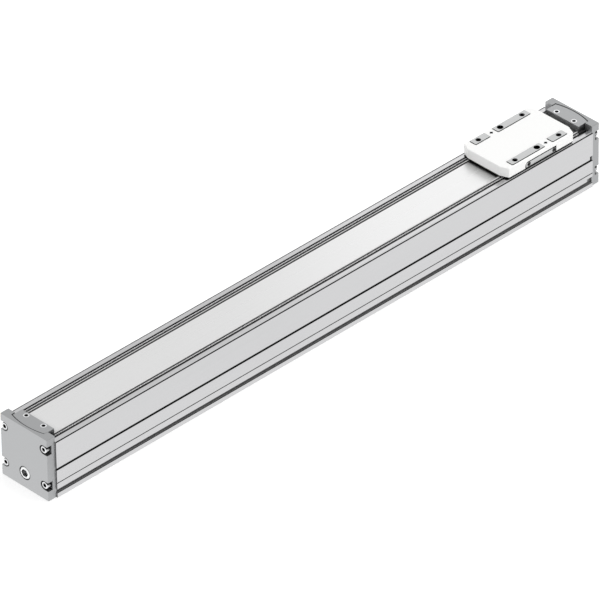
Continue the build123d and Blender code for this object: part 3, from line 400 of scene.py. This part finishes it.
def extruded_strip_edge():
    """Polyurethane, extruded to an edge."""
    # An even light grey with the dull gloss of drawn plastic.
    settings = bpy.context.scene.axis_housing
    material, tree, shader, place = new_material("extruded_strip_edge", settings.strip_edge, 0.0, 0.45)
    lines = pattern(tree, place, settings.die_line, 2, "X")
    _, y, z = add_node(tree, "SeparateXYZ", (place,)).outputs
    _, outer, top = extent("strip_edges")[1]
    across = add_node(tree, "Math", (y,), operation="ABSOLUTE")
    below_top = add_node(tree, "Math", (top, z), operation="SUBTRACT")
    # Painted shade: dark lines along the outer corners and along the strip's left edge.
    flat = add_node(tree, "Math", (below_top, 0.2 * MM), operation="SUBTRACT")
    corner = add_node(tree, "Math", (outer, across), operation="SUBTRACT")
    corner = add_node(tree, "Math", (flat, corner), operation="MAXIMUM")
    corner = add_node(tree, "MapRange", (corner, settings.corner_shade_line, settings.corner_shade_line + 0.15 * MM,
                                         settings.edge_shade, 1))
    seam = add_node(tree, "Math", (y, extent("cover_strip")[1][1]), operation="SUBTRACT")
    seam = add_node(tree, "Math", (seam,), operation="ABSOLUTE")
    seam = add_node(tree, "MapRange", (seam, 0.6 * MM, 0.75 * MM, settings.edge_shade, 1))
    line = add_node(tree, "Math", (corner, seam), operation="MINIMUM")
    # Painted light brightens the flanks, and painted shade darkens their feet, which lie in the dark.
    flank = add_node(tree, "MapRange", (below_top, 0.2 * MM, 0.4 * MM, 1, settings.flank_shade))
    foot = add_node(tree, "MapRange", (below_top, 1.9 * MM, 2.4 * MM, settings.flank_shade, 0.1))
    flank = add_node(tree, "Math", (flank, foot), operation="MINIMUM")
    light = add_node(tree, "Math", (line, flank), operation="MULTIPLY")
    shade = add_node(tree, "VectorMath", {0: vary(tree, lines, settings.strip_edge, 0.02), "Scale": light},
                     operation="SCALE")
    # Painted shade in crevices, within 1 mm.
    paint_crevice_shade(tree, shader, shade, 1 * MM, -1.0, 0.9)
    roughen(tree, shader, lines, 0.4, 0.5)
    return material


def moulded_acetal():
    """Acetal, injection moulded, white."""
    # Dense clean white with a soft sheen and the faint grain of a spark-eroded mould. Real grain is
    # 0.05 mm, and this is as coarse as it needs to show.
    settings = bpy.context.scene.axis_slide
    material, tree, shader, place = new_material("moulded_acetal", settings.cover, 0.0, 0.42)
    shader.inputs["IOR"].default_value = 1.48
    grain = pattern(tree, place, 0.5 * MM, 3)
    # Painted shade: a fine black line along the lower edge, which lies in the slide's own shade.
    _, _, z = add_node(tree, "SeparateXYZ", (place,)).outputs
    rim = extent("slide_cover")[0][2] + settings.cover_shade_line
    light = add_node(tree, "Math", (z, rim), operation="GREATER_THAN")
    light = add_node(tree, "MapRange", (light, 0, 1, DARKEST, 1))
    shade = add_node(tree, "VectorMath", {0: vary(tree, grain, settings.cover, 0.006), "Scale": light},
                     operation="SCALE")
    # Painted shade in crevices, within 1.5 mm.
    paint_crevice_shade(tree, shader, shade, 1.5 * MM, 0.2, 0.65)
    roughen(tree, shader, grain, 0.38, 0.48)
    emboss(tree, shader, grain, 0.02 * MM, 0.15)
    return material


def machined_aluminium():
    """Aluminium, milled and clear anodised, finer than the clamps."""
    # Bright satin pads with feed marks along the travel, as coarse as they need to show.
    settings = bpy.context.scene.axis_slide
    material, tree, shader, place = new_material("machined_aluminium", settings.machined, 1.0, 0.34)
    marks = pattern(tree, place, settings.milling_line, 2, "X", 30)
    # Painted shade: dark outlines in the gaps round the pads, and in crevices within 6 mm.
    tint_with_crevice_shade(tree, shader, marks, settings.machined, 0.02, 6 * MM, 0.8, 0.99)
    roughen(tree, shader, marks, 0.3, 0.4)
    emboss(tree, shader, marks, 0.02 * MM, 0.2)
    return material


def milled_lug_bar():
    """Aluminium, milled and clear anodised, with broken edges."""
    # Bright satin, with a painted shade outline where the bar ends in its window.
    settings = bpy.context.scene.axis_slide
    material, tree, shader, place = new_material("milled_lug_bar", settings.lug, 1.0, 0.34)
    marks = pattern(tree, place, settings.milling_line, 2, "X", 30)
    low, high = extent("switch_lug_bar")
    parts = add_node(tree, "SeparateXYZ", (place,))
    inward = []
    for axis in (0, 2):
        middle = (low[axis] + high[axis]) / 2
        half = (high[axis] - low[axis]) / 2
        offset = add_node(tree, "Math", (parts.outputs[axis], middle), operation="SUBTRACT")
        offset = add_node(tree, "Math", (offset,), operation="ABSOLUTE")
        inward.append(add_node(tree, "Math", (half, offset), operation="SUBTRACT"))
    outline = add_node(tree, "Math", inward, operation="MINIMUM")
    line = add_node(tree, "MapRange", (outline, 0.5 * MM, 0.7 * MM, DARKEST, 1))
    shade = add_node(tree, "VectorMath", {0: vary(tree, marks, settings.lug, 0.02), "Scale": line},
                     operation="SCALE")
    # Painted shade in crevices, within 3 mm.
    paint_crevice_shade(tree, shader, shade, 3 * MM, 0.3, 0.9)
    roughen(tree, shader, marks, 0.3, 0.4)
    return material


def moulded_black_plastic():
    """Polyamide, injection moulded, black."""
    # Nearly black with a dull gloss.
    settings = bpy.context.scene.axis_slide
    material, tree, shader, place = new_material("moulded_black_plastic", settings.black_plastic, 0.0, 0.5)
    shader.inputs["IOR"].default_value = 1.53
    grain = pattern(tree, place, 0.4 * MM, 3)
    # Painted shade in crevices, within 3 mm.
    tint_with_crevice_shade(tree, shader, grain, settings.black_plastic, 0.1)
    roughen(tree, shader, grain, 0.45, 0.6)
    return material


def nitrile_rubber():
    """Nitrile rubber, moulded."""
    # Matt black that takes the light softly, with a slightly dusty bloom.
    settings = bpy.context.scene.axis_slide
    material, tree, shader, place = new_material("nitrile_rubber", settings.rubber, 0.0, 0.75)
    shader.inputs["IOR"].default_value = 1.52
    bloom = pattern(tree, place, 2 * MM, 4)
    # Painted shade in crevices, within 3 mm.
    tint_with_crevice_shade(tree, shader, bloom, settings.rubber, 0.25)
    roughen(tree, shader, bloom, 0.68, 0.85)
    return material


def shaded_tapped_thread():
    """Aluminium, tapped, with its turns painted nearly black as shade."""
    # Painted shade: nearly black down the hole, so that it reads as a thread's shadow.
    settings = bpy.context.scene.axis_slide
    material, tree, shader, place = new_material("shaded_tapped_thread", settings.thread, 1.0, 0.5)
    grain = pattern(tree, place, 0.5 * MM, 2)
    # Painted shade in crevices, within 4 mm.
    tint_with_crevice_shade(tree, shader, grain, settings.thread, 0.1, 4 * MM, 0.5, 1.0)
    roughen(tree, shader, grain, 0.45, 0.6)
    return material


def coated_magnet():
    """Ferrite magnet, pressed and lacquered."""
    # Dark grey and slightly grainy under a thin lacquer.
    settings = bpy.context.scene.axis_slide
    material, tree, shader, place = new_material("coated_magnet", settings.magnet, 0.0, 0.4)
    grain = pattern(tree, place, 0.3 * MM, 3)
    # Painted shade in crevices, within 3 mm.
    tint_with_crevice_shade(tree, shader, grain, settings.magnet, 0.12)
    roughen(tree, shader, grain, 0.35, 0.5)
    return material


def ground_steel():
    """Bearing steel, hardened and ground."""
    # Bright steel with fine grinding lines along the travel.
    settings = bpy.context.scene.axis_drive
    material, tree, shader, place = new_material("ground_steel", settings.ground_steel, 1.0, 0.28)
    lines = pattern(tree, place, 0.5 * MM, 2, "X")
    # Painted shade in crevices, within 3 mm.
    tint_with_crevice_shade(tree, shader, lines, settings.ground_steel, 0.03)
    roughen(tree, shader, lines, 0.22, 0.34)
    emboss(tree, shader, lines, 0.01 * MM, 0.2)
    return material


def rolled_spindle():
    """Bearing steel, with a rolled and polished ball thread."""
    # A helical ball groove of the real lead, with narrow lands between its turns, painted lighter than the
    # groove.
    settings = bpy.context.scene.axis_drive
    material, tree, shader, place = new_material("rolled_spindle", settings.ground_steel, 1.0, 0.22)
    x, y, z = add_node(tree, "SeparateXYZ", (place,)).outputs
    level = add_node(tree, "Math", (z, MOUNTS["drive_shaft"]["pos_m"][2]), operation="SUBTRACT")
    turn = add_node(tree, "Math", (level, y), operation="ARCTAN2")
    advance = add_node(tree, "Math", (x, 2 * pi / settings.lead), operation="MULTIPLY")
    phase = add_node(tree, "Math", (advance, turn), operation="SUBTRACT")
    wave = add_node(tree, "Math", (phase,), operation="SINE")
    groove = add_node(tree, "MapRange", (wave, -0.6, 0.4, 0, 1))
    # The thread ends before the drive bearing.
    threaded = add_node(tree, "Math", (x, extent("drive_bearing_balls")[0][0]), operation="LESS_THAN")
    relief = add_node(tree, "Math", (groove, threaded), operation="MULTIPLY")
    emboss(tree, shader, relief, 1.2 * MM)
    # Painted shade in the groove and painted light on the lands, 8 % each way, and painted shade in
    # crevices.
    tint_with_crevice_shade(tree, shader, groove, settings.ground_steel, 0.08)
    return material


def zinc_plated_steel(screws="", axes=(), radius=0.0, recess=0.0):
    """Steel, cold headed and zinc plated."""
    # Cool silver with a slightly cloudy plating, and painted shade that darkens the recess and its edge.
    settings = bpy.context.scene.axis_drive
    name = "_".join(["zinc_plated_steel", screws]).strip("_")
    material, tree, shader, place = new_material(name, settings.zinc, 1.0, 0.3)
    cloud = pattern(tree, place, 1.5 * MM, 3)
    shade = vary(tree, cloud, settings.zinc, 0.05)
    if screws:
        away = from_axes(tree, place, screws, axes, radius)
        # Painted shade in the recess.
        light = add_node(tree, "MapRange", (away, recess, recess + 0.3 * MM, DARKEST, 1))
        shade = add_node(tree, "VectorMath", {0: shade, "Scale": light}, operation="SCALE")
    # Painted shade in crevices, strong within 6 mm.
    paint_crevice_shade(tree, shader, shade, 6 * MM, 0.85, 0.995)
    roughen(tree, shader, cloud, 0.24, 0.38)
    return material


def turned_plug():
    """Steel, turned and zinc plated."""
    # Bright turned ring with a cloudy sheen, and painted shade in the socket that leaves some light on its
    # flats.
    settings = bpy.context.scene.axis_drive
    material, tree, shader, place = new_material("turned_plug", settings.plug, 1.0, 0.32)
    cloud = pattern(tree, place, 1.5 * MM, 3)
    # Painted shade in crevices, within 6 mm.
    tint_with_crevice_shade(tree, shader, cloud, settings.plug, 0.04, 6 * MM, 0.0, 0.85)
    roughen(tree, shader, cloud, 0.26, 0.4)
    return material


# Mesh pieces

def helix_ridge(name, centre, direction, radius, ridge, start, stop, pitch, steps=18, half=0.42):
    """The turns of a thread as a triangular ridge inside a hole, as one mesh.

    A turn has the given number of steps, and the ridge reaches the share half of the pitch to both sides.
    """
    along = Vector(direction)
    side = Vector((0, 0, 1)) if abs(along.x) > 0.5 else Vector((1, 0, 0))
    other = along.cross(side)
    count = round((stop - start) / pitch * steps)
    points, faces = [], []
    for index in range(count + 1):
        angle = 2 * pi * index / steps
        out = side * cos(angle) + other * sin(angle)
        middle = start + (stop - start) * index / count
        for offset, reach in ((-half, radius), (0, radius - ridge), (half, radius)):
            points.append(Vector(centre) + along * (middle + offset * pitch) + out * reach)
    for index in range(count):
        low, high = 3 * index, 3 * (index + 1)
        faces += [(low, high, high + 1, low + 1), (low + 1, high + 1, high + 2, low + 2)]
    mesh = bpy.data.meshes.new(name)
    mesh.from_pydata(points, [], faces)
    mesh.update()
    piece = bpy.data.objects.new(name, mesh)
    bpy.context.scene.collection.objects.link(piece)
    return piece


# Operators

class AXIS_OT_finish_housing(bpy.types.Operator):
    """Satin anodised profile and blasted caps"""

    bl_idname = "axis.finish_housing"
    bl_label = "Housing and caps"

    def execute(self, context):
        dress(satin_anodised_extrusion(), "housing_profile")
        dress(blasted_casting(), "drive_end_cap", "idle_end_cap")
        dress(milled_clamp(), "drive_strip_clamp", "idle_strip_clamp")
        return {"FINISHED"}


class AXIS_OT_finish_strip(bpy.types.Operator):
    """Rolled cover strip and its edges"""

    bl_idname = "axis.finish_strip"
    bl_label = "Cover strip"

    def execute(self, context):
        dress(rolled_stainless_strip(), "cover_strip")
        dress(extruded_strip_edge(), "strip_edges")
        return {"FINISHED"}


class AXIS_OT_finish_slide(bpy.types.Operator):
    """White cover, machined yoke and carriage, and the black plastics"""

    bl_idname = "axis.finish_slide"
    bl_label = "Slide and carriage"

    def execute(self, context):
        dress(moulded_acetal(), "slide_cover")
        dress(machined_aluminium(), "slide_yoke", "carriage_body")
        dress(milled_lug_bar(), "switch_lug_bar")
        dress(moulded_black_plastic(), "strip_glides", "guide_block_caps_left", "guide_block_caps_right",
              "nut_wipers")
        dress(nitrile_rubber(), "drive_strip_wiper", "idle_strip_wiper", "drive_end_buffer",
              "idle_end_buffer", "shaft_seal")
        dress(coated_magnet(), "sensor_magnets")
        return {"FINISHED"}


class AXIS_OT_finish_drive(bpy.types.Operator):
    """Spindle, nut, bearings and guides"""

    bl_idname = "axis.finish_drive"
    bl_label = "Drive and guides"

    def execute(self, context):
        dress(rolled_spindle(), "spindle_shaft")
        dress(ground_steel(), "spindle_nut", "bearing_lock_nut", "bearing_retainer", "idle_retaining_ring",
              "drive_bearing_outer_rings", "drive_bearing_inner_rings", "drive_bearing_balls",
              "idle_bearing_outer_ring", "idle_bearing_inner_ring", "idle_bearing_balls",
              "guide_rail_left", "guide_rail_right", "guide_blocks_left", "guide_blocks_right")
        return {"FINISHED"}


class AXIS_OT_finish_fasteners(bpy.types.Operator):
    """Zinc plated screws and plug"""

    bl_idname = "axis.finish_fasteners"
    bl_label = "Fasteners"

    def execute(self, context):
        screws = [name for name in NODES if name.endswith("_screws") or "_screws_" in name]
        dress(zinc_plated_steel(), *screws)
        # Screws in view: the axes across them, then the radius of a head and that of the painted shade in
        # its recess, both in millimetres
        heads = {
            "cover": ((0, 1), 2.3, 1.3),
            "switch_lug": ((0, 2), 1.9, 1.5),
            "drive_clamp": ((0, 1), 2.75, 1.6),
            "idle_clamp": ((0, 1), 2.75, 1.6),
            "drive_cap": ((1, 2), 3.9, 1.8),
            "idle_cap": ((1, 2), 3.9, 1.8),
        }
        for group, (axes, radius, recess) in heads.items():
            name = f"{group}_screws"
            dress(zinc_plated_steel(name, axes, radius * MM, recess * MM), name)
        dress(turned_plug(), "idle_end_plug")
        return {"FINISHED"}


class AXIS_OT_cut_threads(bpy.types.Operator):
    """Thread turns in the slide's and the drive flange's holes"""

    bl_idname = "axis.cut_threads"
    bl_label = "Thread turns"

    def execute(self, context):
        settings = context.scene.axis_drive
        tapped = shaded_tapped_thread()
        # The turns root just inside the wall, and their height and their end below the face go by the pitch.
        root, height, sunk = 0.02 * MM, 0.3, 1.2
        groups = (
            ("slide_threads", "slide", "machined_aluminium", (0, 1), settings.slide_pitch, 8.6 * MM),
            ("drive_flange_threads", "housing", "cap_aluminium", (1, 2), settings.flange_pitch, 6.6 * MM),
        )
        for name, body, slot, axes, pitch, depth in groups:
            mount = MOUNTS[name]
            spacing = (mount["dims"]["spacing_x_mm"] * MM / 2, mount["dims"]["spacing_y_mm"] * MM / 2)
            radius = mount["dims"]["hole_r_mm"] * MM
            for number, (first, second) in enumerate(((-1, -1), (-1, 1), (1, -1), (1, 1))):
                centre = list(mount["pos_m"])
                centre[axes[0]] += first * spacing[0]
                centre[axes[1]] += second * spacing[1]
                turns = helix_ridge(f"{name}_turns_{number + 1}", centre, mount["axis"], radius + root,
                                    pitch * height, -depth, -sunk * pitch, pitch)
                turns.data.materials.append(tapped)
                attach(turns, body)
        return {"FINISHED"}


class AXIS_OT_build_stage(bpy.types.Operator):
    """Pale floor, soft lamps, white background and the camera"""

    bl_idname = "axis.build_stage"
    bl_label = "Studio"

    def execute(self, context):
        settings = context.scene.axis_stage
        self.add_floor(context, settings)
        self.add_world(context, settings)
        self.add_lamp(context, "key_lamp", (0.25, -0.1, 1.7), (0.1, 0, 0), 1.1, settings.key, False)
        self.add_lamp(context, "fill_lamp", (1.3, -1.7, 0.5), (0.1, 0, 0), 1.2, settings.fill, False)
        self.add_lamp(context, "side_lamp", (-2.0, -0.3, 0.5), (0, 0, 0), 1.2, settings.side, False)
        self.add_lamp(context, "back_lamp", (0.95, 0.62, 0.66), (0.3, 0, 0), 0.5, settings.back, True)
        self.add_camera(context, settings)
        return {"FINISHED"}

    def add_floor(self, context, settings):
        """A wide matt floor just under the object."""
        mesh = bpy.data.meshes.new("studio_floor")
        half, level = 6.0, -0.2 * MM
        corners = [(-half, -half, level), (half, -half, level), (half, half, level), (-half, half, level)]
        mesh.from_pydata(corners, [], [(0, 1, 2, 3)])
        floor = bpy.data.objects.new("studio_floor", mesh)
        context.scene.collection.objects.link(floor)
        material = bpy.data.materials.new("matt_studio_floor")
        material.use_nodes = True
        tree = material.node_tree
        tree.nodes.clear()
        # The camera sees a white floor with its shadow, and the metals mirror an even one.
        plain = add_node(tree, "BsdfDiffuse", {"Color": (*settings.floor, 1)})
        glow = add_node(tree, "Emission", {"Color": (1, 1, 1, 1), "Strength": settings.glow})
        white = add_node(tree, "AddShader", (plain, glow))
        even = add_node(tree, "Emission", {"Color": (1, 1, 1, 1), "Strength": settings.mirrored})
        path = add_node(tree, "LightPath")
        seen = add_node(tree, "MixShader", (path.outputs["Is Camera Ray"], plain, white))
        seen = add_node(tree, "MixShader", (path.outputs["Is Glossy Ray"], seen, even))
        add_node(tree, "OutputMaterial", {"Surface": seen})
        mesh.materials.append(material)

    def add_world(self, context, settings):
        """White where it is seen, mirrored or seen through glass, and an even light elsewhere."""
        world = bpy.data.worlds.new("studio_room")
        context.scene.world = world
        world.use_nodes = True
        tree = world.node_tree
        tree.nodes.clear()
        light = add_node(tree, "Background", {"Color": (1, 1, 1, 1), "Strength": settings.daylight})
        white = add_node(tree, "Background", {"Color": (1, 1, 1, 1), "Strength": 1.0})
        rays = add_node(tree, "LightPath").outputs
        seen = add_node(tree, "Math", (rays["Is Camera Ray"], rays["Is Glossy Ray"]), operation="MAXIMUM")
        seen = add_node(tree, "Math", (seen, rays["Is Transmission Ray"]), operation="MAXIMUM")
        mix = add_node(tree, "MixShader", (seen, light, white))
        add_node(tree, "OutputWorld", {"Surface": mix})

    def add_lamp(self, context, name, place, target, size, power, mirrored):
        """A soft square lamp that the camera doesn't see."""
        data = bpy.data.lights.new(name, "AREA")
        data.shape = "SQUARE"
        data.size = size
        data.energy = power
        lamp = bpy.data.objects.new(name, data)
        context.scene.collection.objects.link(lamp)
        lamp.visible_camera = False
        lamp.visible_glossy = mirrored
        aim = Vector(target) - Vector(place)
        lamp.matrix_world = Matrix.Translation(place) @ aim.to_track_quat("-Z", "Y").to_matrix().to_4x4()

    def add_camera(self, context, settings):
        """A long lens that looks down along the axis from the idle end."""
        data = bpy.data.cameras.new("studio_camera")
        data.sensor_width = 36
        data.lens = settings.lens
        data.clip_end = 50
        camera = bpy.data.objects.new("studio_camera", data)
        context.scene.collection.objects.link(camera)
        place = (-4.3330, -4.4541, 4.3980)
        heading, pitch, roll = radians(45.845), radians(35.129), radians(-0.768)
        forward = Vector((cos(pitch) * cos(heading), cos(pitch) * sin(heading), -sin(pitch)))
        right = forward.cross(Vector((0, 0, 1))).normalized()
        up = right.cross(forward)
        right, up = right * cos(roll) + up * sin(roll), up * cos(roll) - right * sin(roll)
        turn = Matrix((right, up, -forward)).transposed().to_4x4()
        camera.matrix_world = Matrix.Translation(place) @ turn
        context.scene.camera = camera
        context.scene.view_settings.view_transform = "Standard"


class AXIS_PT_panel(bpy.types.Panel):
    """The axis's finishes and settings"""

    bl_label = "Linear axis"
    bl_idname = "AXIS_PT_panel"
    bl_space_type = "VIEW_3D"
    bl_region_type = "UI"
    bl_category = "Linear axis"

    def draw(self, context):
        layout = self.layout
        for operator in OPERATORS:
            layout.operator(operator.bl_idname)
        for name in SETTINGS:
            box = layout.box()
            group = getattr(context.scene, name)
            for key in group.__annotations__:
                box.prop(group, key)


SETTINGS = {
    "axis_housing": HousingSettings,
    "axis_slide": SlideSettings,
    "axis_drive": DriveSettings,
    "axis_stage": StageSettings,
}
OPERATORS = (
    AXIS_OT_finish_housing,
    AXIS_OT_finish_strip,
    AXIS_OT_finish_slide,
    AXIS_OT_finish_drive,
    AXIS_OT_finish_fasteners,
    AXIS_OT_cut_threads,
    AXIS_OT_build_stage,
)


def register():
    for group in (*SETTINGS.values(), *OPERATORS, AXIS_PT_panel):
        bpy.utils.register_class(group)
    for name, group in SETTINGS.items():
        setattr(bpy.types.Scene, name, PointerProperty(type=group))


def unregister():
    for name in SETTINGS:
        delattr(bpy.types.Scene, name)
    for group in (AXIS_PT_panel, *reversed(OPERATORS), *reversed(SETTINGS.values())):
        bpy.utils.unregister_class(group)


def main():
    register()
    for operator in OPERATORS:
        group, name = operator.bl_idname.split(".")
        getattr(getattr(bpy.ops, group), name)()


if __name__ == "__main__":
    main()
